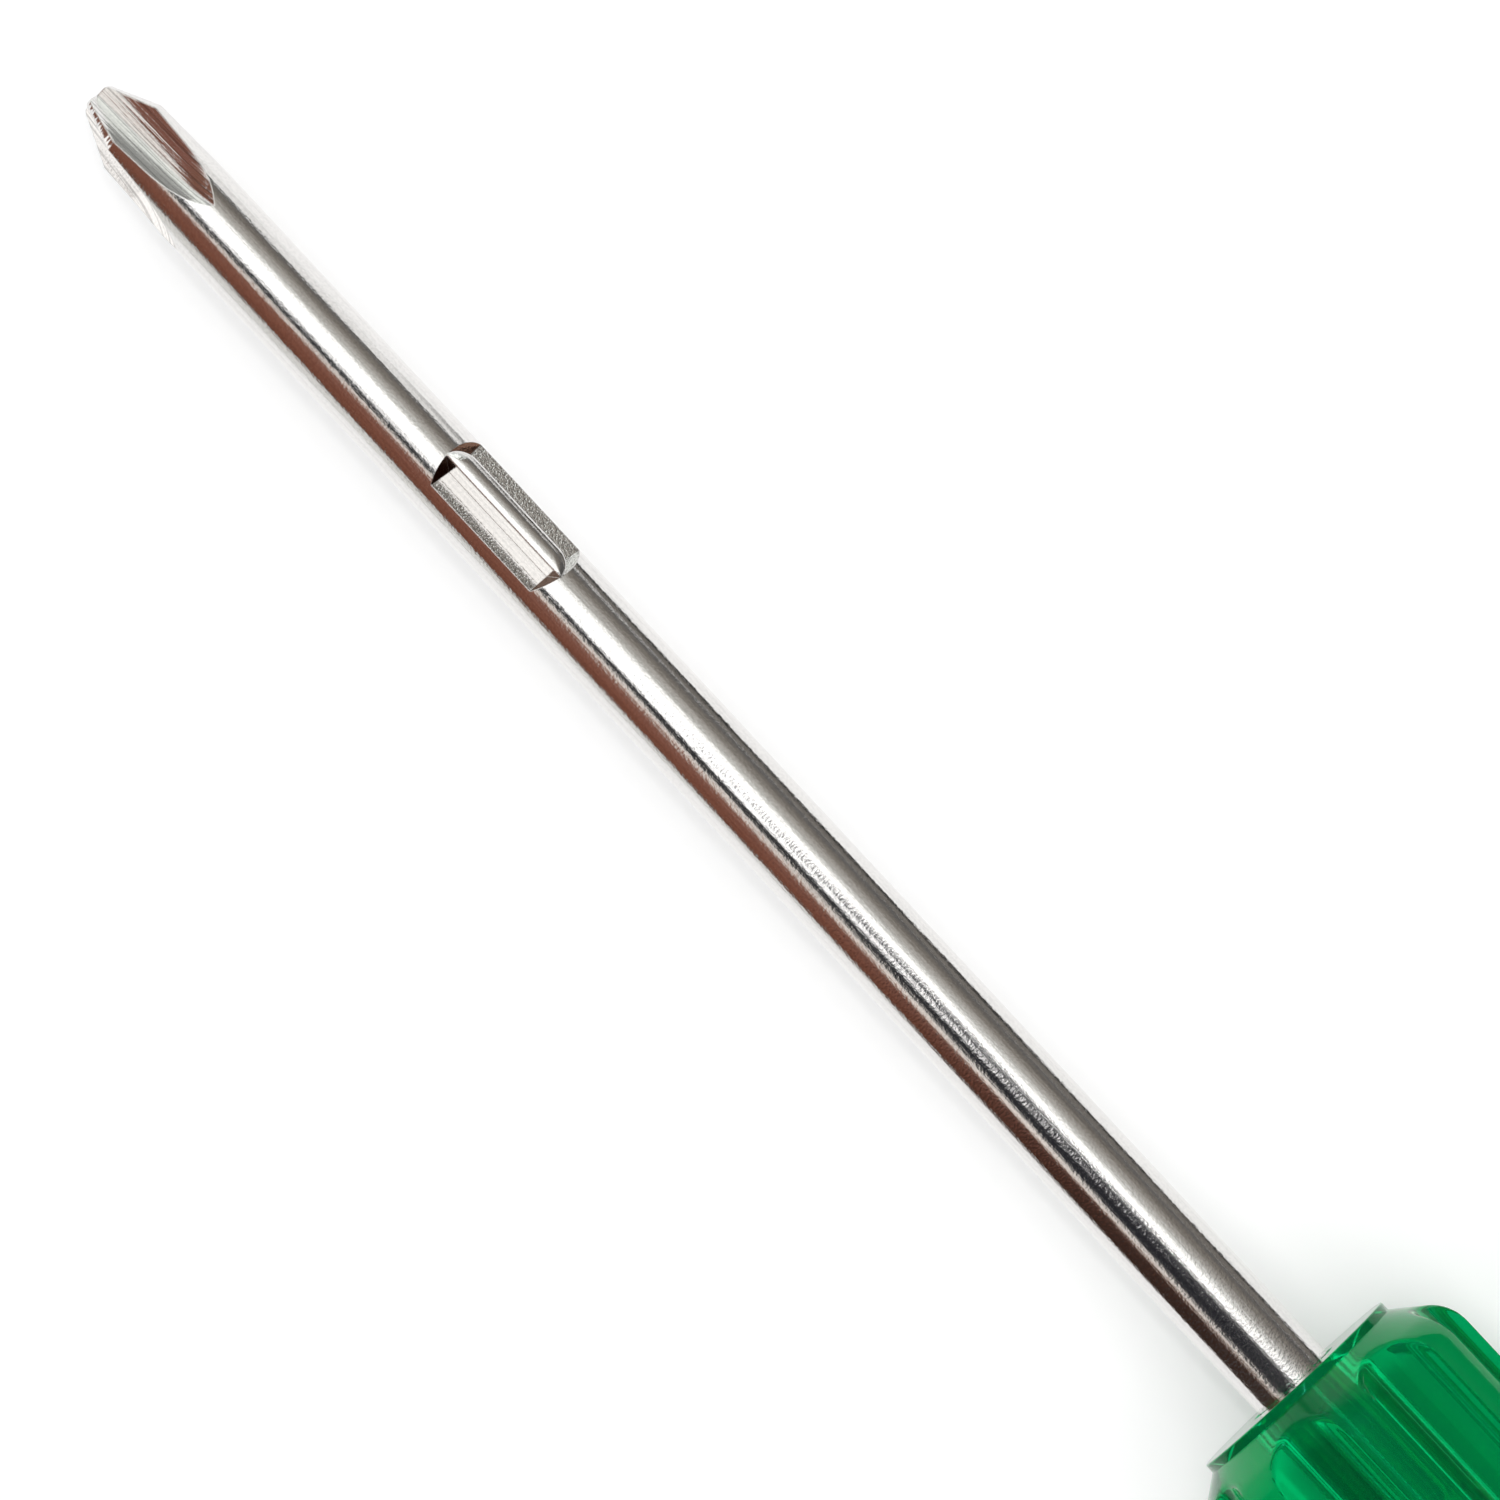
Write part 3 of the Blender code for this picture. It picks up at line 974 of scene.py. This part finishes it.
@dataclass
class Handle:
    """The fluted handle of clear green bar, with its stepped socket."""

    radius: float = 0.011
    nose_x: float = 0.115
    length: float = 0.095
    nose_radius: float = 0.00775
    rim: float = 0.00065
    edge: float = 0.00012
    shoulder_angle: float = math.radians(53)
    shoulder_round: float = 0.0032
    butt_round: float = 0.0075
    flutes: int = 8
    flute_half: float = math.radians(15)
    flute_depth: float = 0.0019
    land_round: float = 0.00035
    socket_radius: float = 0.00315
    mouth_chamfer: float = 0.00030
    socket_depth: float = 0.0471
    socket_cone: float = math.radians(30)
    keyway_half: float = 0.00087
    keyway_radius: float = 0.00351
    keyway_depth: float = 0.0128
    key_turn: float = math.radians(40.7)
    ring_z: float = 0.0153
    ring_groove_radius: float = 0.00425
    ring_groove_half: float = 0.0007
    keyway_step: float = 0.00005
    columns: int = 44
    evenness: float = 0.45
    least_crease: float = 0.05
    edge_rows: int = 5
    cone_rows: int = 14
    shoulder_rows: int = 28
    land_rows: int = 18
    butt_rows: int = 36
    bore_rows: int = 6
    neck_rows: int = 3
    butt_rings: tuple[float, ...] = (0.0028, 0.0015, 0.0006)
    floor_shares: tuple[float, ...] = (0.2, 0.5, 0.8)
    face_rings: tuple[float, ...] = (0.0045, 0.0058, 0.0070)

    def outer_profile(self) -> list[Span]:
        """The outside, from the nose face's edge to near the butt's middle.

        Returns:
            (radius, height) points.
        """
        nose = -self.nose_x
        butt = nose - self.length
        quarter = math.pi / 2
        rise = self.radius - self.shoulder_round * (1 - math.cos(self.shoulder_angle)) - self.nose_radius
        run = rise / math.tan(self.shoulder_angle)
        cone = nose - self.rim
        waist = cone - run - self.shoulder_round * math.sin(self.shoulder_angle)
        points = arc(
            (self.nose_radius - self.edge, nose - self.edge), self.edge, quarter, 0, self.edge_rows
        )
        for share in np.linspace(0, 1, self.cone_rows)[:-1]:
            points.append((self.nose_radius + rise * share, cone - run * share))
        shoulder = (self.radius - self.shoulder_round, waist)
        points += arc(shoulder, self.shoulder_round, self.shoulder_angle, 0, self.shoulder_rows)
        for height in np.linspace(waist, butt + self.butt_round, self.land_rows)[1:-1]:
            points.append((self.radius, height))
        end = (self.radius - self.butt_round, butt + self.butt_round)
        points += arc(end, self.butt_round, 0, -quarter, self.butt_rows)
        return points + [(ring, butt) for ring in self.butt_rings]

    def inner_profile(self) -> list[Span]:
        """The socket, from near its end up to the nose face's edge.

        Returns:
            (radius, height) points.
        """
        nose = -self.nose_x
        end = nose - self.socket_depth
        low, high = (nose - self.ring_z + side * self.ring_groove_half for side in (-1, 1))
        key = nose - self.keyway_depth
        depth = self.socket_radius * math.tan(self.socket_cone)
        points = [(self.socket_radius * part, end - depth * (1 - part)) for part in self.floor_shares]
        for radius, start, stop, rows in (
            (self.socket_radius, end, low, self.bore_rows),
            (self.ring_groove_radius, low, high, 2),
            (self.socket_radius, high, key - self.keyway_step, self.neck_rows),
            (self.socket_radius, key, nose - self.mouth_chamfer, self.bore_rows),
        ):
            points += [(radius, height) for height in np.linspace(start, stop, rows)]
        points.append((self.socket_radius + self.mouth_chamfer, nose))
        return points + [(ring, nose) for ring in self.face_rings]

    def angles(self, radius: float) -> np.ndarray:
        """Column angles for one row, gathered where the flutes' edges run.

        Args:
            radius: The profile's radius there.

        Returns:
            The angles, from 0 round to a full turn.
        """
        floor = self.radius - self.flute_depth
        share = np.clip((radius - floor) / self.flute_depth, self.least_crease, 1.0)
        crease = self.flute_half * math.sqrt(share)
        period = FULL_TURN / self.flutes
        even = np.linspace(0, 1, self.columns // 2, endpoint=False)
        ease = (1 - np.cos(math.pi * even)) / 2
        gather = self.evenness * even + (1 - self.evenness) * ease
        inside = -crease + 2 * crease * gather
        outside = crease + (period - 2 * crease) * gather
        one = np.concatenate([inside, outside])
        return np.concatenate([one + index * period for index in range(self.flutes)])

    def flute_radius(self, angles: np.ndarray) -> np.ndarray:
        """How far out the flutes' floors are.

        Args:
            angles: Angles round the handle.

        Returns:
            Their radii, large where no flute is.
        """
        period = FULL_TURN / self.flutes
        off = (angles + period / 2) % period - period / 2
        floor = self.radius - self.flute_depth
        chord = self.radius * math.sin(self.flute_half)
        sagitta = self.radius * math.cos(self.flute_half) - floor
        bar = (chord**2 + sagitta**2) / (2 * sagitta)
        centre = floor + bar
        under = bar**2 - (centre * np.sin(off)) ** 2
        return np.where(under > 0, centre * np.cos(off) - np.sqrt(np.clip(under, 0, None)), 1.0)

    def keyway(self, angles: np.ndarray) -> np.ndarray:
        """How far out the keyways reach.

        Args:
            angles: Angles round the socket.

        Returns:
            Their radii, at least the socket's own.
        """
        across = np.maximum(np.abs(np.sin(angles - self.key_turn)), TINY)
        out = np.maximum(np.abs(np.cos(angles - self.key_turn)), TINY)
        key = np.minimum(self.keyway_half / across, self.keyway_radius / out)
        return np.maximum(key, self.socket_radius)

    def build(self) -> Piece:
        """Makes the handle as one closed skin, from the socket's end round to the butt.

        Returns:
            The handle, along X.
        """
        rows = []
        nose = -self.nose_x
        for radius, height in self.inner_profile():
            turns = self.angles(self.radius)
            reach = np.full(turns.shape, radius)
            if height >= nose - self.keyway_depth and radius < self.keyway_radius:
                reach = np.maximum(reach, self.keyway(turns))
            rows.append(row_points(reach, turns, height))
        for radius, height in self.outer_profile():
            turns = self.angles(self.radius if height > nose - self.rim / 2 else radius)
            reach = smooth_least(np.full(turns.shape, radius), self.flute_radius(turns), self.land_round)
            rows.append(row_points(reach, turns, height))
        end = nose - self.socket_depth - self.socket_radius * math.tan(self.socket_cone)
        piece = wrapped_grid("handle_acetate", np.array(rows), (0, 0, end), (0, 0, nose - self.length))
        lay_along_x(piece)
        return piece

    def dress(self, piece: Piece) -> None:
        """Gives the handle its clear green finish."""
        piece.data.materials.append(AcetateFinish().material())


@dataclass
class RetainingRing:
    """The open ring of spring wire that grips the shank behind the ears."""

    wire: float = 0.0008
    radius: float = 0.00355
    x: float = -0.1303
    opening: float = math.radians(40)
    turn: float = math.radians(40.7)
    points: int = 72
    wire_steps: int = 6

    def build(self) -> Piece:
        """Makes the ring.

        Returns:
            The ring, as a round-wire curve.
        """
        curve = bpy.data.curves.new("spring_ring", "CURVE")
        curve.dimensions = "3D"
        curve.bevel_depth = self.wire / 2
        curve.bevel_resolution = self.wire_steps
        curve.use_fill_caps = True
        line = curve.splines.new("POLY")
        line.points.add(self.points - 1)
        for point, share in zip(line.points, np.linspace(0, 1, self.points)):
            turn = self.turn + self.opening / 2 + (FULL_TURN - self.opening) * share
            place = AXIS_TURN @ Vector((self.radius * math.cos(turn), self.radius * math.sin(turn), self.x))
            point.co = (*place, 1)
        return new_object("spring_ring", curve)

    def dress(self, piece: Piece) -> None:
        """Gives the ring its drawn-wire finish."""
        finish = SteelFinish(
            "spring_steel", colour=(0.32, 0.32, 0.34), roughness=0.28, edge_round=0.00003, lines=0.1
        )
        piece.data.materials.append(finish.material())


# Studio


@dataclass(frozen=True)
class TentCloth:
    """The tones of the cloths round the object, which the bright steel mirrors.

    Angles are degrees round the blade from straight up, positive towards -Y. A skew is how many
    degrees a seam drifts in a metre along the blade.
    """

    radius: float = 0.52
    skew: float = 75.0
    side_skew: float = 115.0
    skew_back: float = 0.013
    lift: float = 2.9
    far_lift: float = 6.5
    crest_lift: float = 4.5
    rim_skew: float = 115.0
    rim_start: float = 0.018
    gloom: Colour = (0.030, 0.017, 0.013)
    gloom_cover: float = 0.95
    rim_dark: Colour = (0.06, 0.035, 0.025)
    rim_pale: Colour = (0.80, 0.80, 0.78)
    lens: Colour = (0.022, 0.022, 0.028)
    lens_haze: float = 0.16
    near_cover: float = 0.6
    dusk: Colour = (0.09, 0.09, 0.09)
    dusk_cover: float = 0.8
    tip_cloth: Colour = (0.22, 0.10, 0.07)
    butt_cloth: Colour = (0.045, 0.016, 0.01)
    stops: Stops = (
        (-90.0, (0.80, 0.80, 0.78)),
        (-89.0, (0.80, 0.80, 0.78)),
        (-87.5, (0.06, 0.035, 0.025)),
        (-82.0, (0.18, 0.067, 0.042)),
        (-62.0, (0.22, 0.085, 0.056)),
        (-42.0, (0.26, 0.115, 0.085)),
        (-35.0, (0.34, 0.20, 0.16)),
        (-30.0, (0.95, 0.88, 0.81)),
        (-25.0, (0.95, 0.90, 0.85)),
        (-20.5, (0.035, 0.035, 0.037)),
        (-9.5, (0.035, 0.035, 0.04)),
        (-4.0, (1.6, 1.6, 1.6)),
        (33.0, (1.5, 1.5, 1.48)),
        (40.0, (0.86, 0.86, 0.83)),
        (48.0, (0.54, 0.53, 0.50)),
        (57.0, (0.46, 0.44, 0.41)),
        (65.0, (0.30, 0.28, 0.25)),
        (75.0, (0.20, 0.18, 0.16)),
        (90.0, (0.13, 0.13, 0.13)),
    )
    tip_stops: Stops = (
        (-90.0, (1.30, 1.28, 1.26)),
        (-48.0, (1.30, 1.28, 1.26)),
        (-45.5, (0.23, 0.10, 0.075)),
        (-29.4, (0.23, 0.10, 0.075)),
        (-27.3, (1.04, 1.01, 0.97)),
        (-11.0, (1.04, 1.01, 0.97)),
        (3.0, (1.20, 1.20, 1.18)),
        (24.0, (1.20, 1.20, 1.18)),
        (29.0, (0.46, 0.48, 0.47)),
        (46.0, (0.46, 0.48, 0.47)),
        (53.0, (1.40, 1.48, 1.44)),
        (76.0, (1.40, 1.48, 1.44)),
        (90.0, (0.60, 0.60, 0.60)),
    )

    def tone(self, tree: Tree) -> Feed:
        """The colour of the cloth at each place on the tent.

        Args:
            tree: The tent's nodes.

        Returns:
            The colour.
        """
        x, y, z = tree.axes(tree.place())
        turn = (-y).angle_from(z) * math.degrees(1)
        found = {"x": x, "turn": turn, "far": x / self.radius}

        def rise(**spans: Span) -> Signal:
            """The product of the rises of what is found, each over its span."""
            first, *others = (found[name].step(*span) for name, span in spans.items())
            return math.prod(others, start=first)

        skew = rise(turn=(5.0, -15.0)) * self.skew + rise(turn=(-18.0, -30.0)) * self.side_skew
        lift = rise(turn=(2.0, -6.0)) * (rise(x=(-0.058, -0.090)) * self.far_lift + self.lift)
        found["held"] = turn - (x + self.skew_back) * skew - lift
        found["rim"] = turn - (x - self.rim_start) * self.rim_skew
        found["crest"] = turn + rise(x=(-0.080, -0.105)) * self.crest_lift
        lens = rise(turn=(2.5, 7.0), x=(-0.018, -0.046))
        lens = lens.largest(rise(turn=(-27.5, -24.0), x=(-0.062, -0.080)))
        haze = rise(x=(-0.096, -0.112), turn=(6.0, 14.0)) * self.lens_haze
        lens = lens * rise(crest=(24.0, 20.0)) * (1.0 - haze)
        near = rise(turn=(6.0, 1.0), x=(0.010, 0.060)) * rise(turn=(-18.0, -14.0), x=(0.104, 0.086))
        past = rise(turn=(-49.0, -52.0), far=(0.82, 0.80))
        cloth = tree.dial(found["held"], self.stops)
        for share, colour in (
            (rise(held=(-31.0, -40.0), x=(-0.035, -0.105)) * self.gloom_cover, rgba(self.gloom)),
            (rise(rim=(-72.5, -74.5)), rgba(self.rim_dark)),
            (rise(rim=(-76.0, -77.0)), rgba(self.rim_pale)),
            (lens.largest(near * self.near_cover), rgba(self.lens)),
            (rise(x=(-0.128, -0.150)) * self.dusk_cover, rgba(self.dusk)),
            (rise(far=(0.26, 0.34)), tree.dial(turn, self.tip_stops)),
            (rise(far=(0.48, 0.66), turn=(-28.0, -34.0)) * (1.0 - past), rgba(self.tip_cloth)),
            (rise(far=(-0.72, -0.88)), rgba(self.butt_cloth)),
        ):
            cloth = tree.blend(share, cloth, colour)
        return cloth


@dataclass
class Studio:
    """The floor, the soft light, the cloths, the sheet of painted shadow and the camera.

    A lamp is its name, its size, its radiance and whether gloss and glass show it.
    """

    floor_half: float = 3.0
    floor_glow: float = 0.20
    floor_grains: float = 900.0
    floor_tones: Span = (0.88, 0.90)
    fill: float = 0.60
    cloth: TentCloth = TentCloth()
    cloth_level: float = 1.02
    tent_rows: tuple[tuple[float, int], ...] = ((92.0, 93), (89.0, 91))
    side_box: tuple[Span, Span] = ((-0.135, 0.020), (-0.45, -0.028))
    side_rise: float = 0.0004
    side_seams: tuple[Span, Span] = ((-0.0480, -0.0360), (-0.036, -0.018))
    # Tones of the painted shadow: grey farther out, near black by the shank, white towards the tip.
    side_shadow_tones: tuple[Colour, ...] = ((0.20, 0.185, 0.17), (0.03, 0.03, 0.03), (0.95, 0.95, 0.94))
    lamps: tuple[tuple[str, Span, float, bool], ...] = (
        ("soft_lamp", (0.90, 0.32), 1.7, False),
        ("spark_lamp", (0.10, 0.02), 30.0, True),
    )
    lamp_turn: float = math.radians(17)
    lamp_x: float = -0.07
    lamp_distance: float = 0.50
    view_from: Point = (-0.082, -0.228, 0.970)
    view_roll: float = 0.75003
    view_x: float = -0.06099
    view_shift: float = 0.002211
    view_distance: float = 0.45632
    lens: float = 168.0
    sensor: float = 36.0
    clip: Span = (0.01, 50.0)

    def floor(self) -> None:
        """A large pale sheet that the handle rests on."""
        side = (-self.floor_half, self.floor_half)
        piece = sheet("floor", (side, side), CAD_BOX[0][2])
        material, tree = new_tree("floor_paper")
        glow = tree.glow(rgba(WHITE), tree.seen() * self.floor_glow)
        grain = tree.noise(tree.place(), (self.floor_grains,) * 3, 2.0)
        tone = tree.blend(grain, *(rgba(WHITE, level) for level in self.floor_tones))
        paper = tree.node("ShaderNodeBsdfDiffuse", inputs={"Color": tone})
        both = tree.node("ShaderNodeAddShader", inputs={0: paper.outputs[0], 1: glow})
        piece.data.materials.append(tree.close(material, Surface=both.outputs[0]))

    def tent(self) -> None:
        """The bright and dark cloths round the object, which only gloss and glass show."""
        turns, leans = (np.radians(np.linspace(-reach, reach, rows)) for reach, rows in self.tent_rows)
        points = [
            self.cloth.radius * Vector((math.sin(b), -math.cos(b) * math.sin(a), math.cos(b) * math.cos(a)))
            for b in leans
            for a in turns
        ]
        count = len(turns)
        corners = [row * count + i for row in range(len(leans) - 1) for i in range(count - 1)]
        mesh = bpy.data.meshes.new("light_tent")
        mesh.from_pydata(points, [], [(i, i + 1, i + count + 1, i + count) for i in corners])
        material, tree = new_tree("tent_cloth")
        self.light_up(new_object("light_tent", mesh), material, tree, self.cloth.tone(tree))

    def side_shadow_sheet(self) -> None:
        """A dark sheet just over the floor beside the shank, which only gloss shows: a painted reflection
        of the object's shadow on the floor.
        """
        piece = sheet("side_shadow_sheet", self.side_box, CAD_BOX[0][2] + self.side_rise)
        piece.visible_transmission = False
        material, tree = new_tree("side_shadow_sheet")
        x, y, _ = tree.axes(tree.place())
        near, far, pale = map(rgba, self.side_shadow_tones)
        across, along = self.side_seams
        # Painted shadow: darker by the shank and back towards the handle, pale towards the tip.
        tone = tree.blend(y.step(*across), near, far)
        self.light_up(piece, material, tree, tree.blend(x.step(*along), tone, pale))

    def light_up(
        self, piece: Piece, material: bpy.types.Material, tree: Tree, tone: Feed
    ) -> None:
        """Makes a cloth, or the sheet of painted shadow, shine, unseen but in gloss and glass.

        Args:
            piece: The cloth or sheet.
            material: Its material.
            tree: The material's nodes.
            tone: The colour that it shines with.
        """
        glow = tree.glow(tone, self.cloth_level)
        piece.data.materials.append(tree.close(material, Surface=glow))
        for ray in ("camera", "diffuse", "shadow", "volume_scatter"):
            setattr(piece, f"visible_{ray}", False)

    def light(self) -> None:
        """The lamps over the blade."""
        away = Vector((0.0, -math.sin(self.lamp_turn), math.cos(self.lamp_turn)))
        for name, size, radiance, shown in self.lamps:
            light = bpy.data.lights.new(name, "AREA")
            light.shape = "RECTANGLE"
            light.size, light.size_y = size
            light.energy = radiance * math.pi * size[0] * size[1]
            lamp = new_object(name, light)
            lamp.location = Vector((self.lamp_x, 0, 0)) + away * self.lamp_distance
            lamp.rotation_euler = away.to_track_quat("Z", "Y").to_euler()
            lamp.visible_camera = False
            lamp.visible_glossy = lamp.visible_transmission = shown

    def world(self) -> None:
        """White all round for the camera, gloss and glass, and a plain fill for the rest."""
        world = bpy.data.worlds.new("studio")
        bpy.context.scene.world = world
        world.use_nodes = True
        tree = Tree(world.node_tree)
        strength = self.fill + tree.seen() * (1.0 - self.fill)
        back = tree.node("ShaderNodeBackground", inputs={"Color": rgba(WHITE), "Strength": strength})
        tree.node("ShaderNodeOutputWorld", inputs={"Surface": back.outputs[0]})

    def camera(self) -> None:
        """The camera at the photograph's angle."""
        towards = Vector(self.view_from).normalized()
        along = Vector((1, 0, 0))
        along = (along - along.dot(towards) * towards).normalized()
        across = along.cross(towards)
        right = -math.sin(self.view_roll) * along + math.cos(self.view_roll) * across
        up = math.cos(self.view_roll) * along + math.sin(self.view_roll) * across
        target = Vector((self.view_x, 0, 0)) + self.view_shift * across
        data = bpy.data.cameras.new("camera")
        data.sensor_width = self.sensor
        data.lens = self.lens
        data.clip_start, data.clip_end = self.clip
        camera = new_object("camera", data)
        place = Matrix.Translation(target + towards * self.view_distance)
        camera.matrix_world = place @ Matrix((right, up, towards)).transposed().to_4x4()
        bpy.context.scene.camera = camera

    def build(self) -> None:
        """Sets the whole studio up."""
        self.floor()
        self.tent()
        self.side_shadow_sheet()
        self.light()
        self.world()
        self.camera()
        bpy.context.scene.view_settings.view_transform = "Standard"


def main() -> None:
    """Builds the studio and each piece in order."""
    logging.basicConfig(level=logging.INFO, format="%(message)s")
    Studio().build()
    for maker, body, node, slot in (
        (Blade(), Body.BLADE, "blade", Slot.PLATED_STEEL),
        (Handle(), Body.HANDLE, "handle", Slot.GREEN_ACETATE),
        (RetainingRing(), Body.HANDLE, "retaining_ring", Slot.SPRING_STEEL),
    ):
        piece = maker.build()
        maker.dress(piece)
        seat(piece, body, node)


if __name__ == "__main__":
    main()
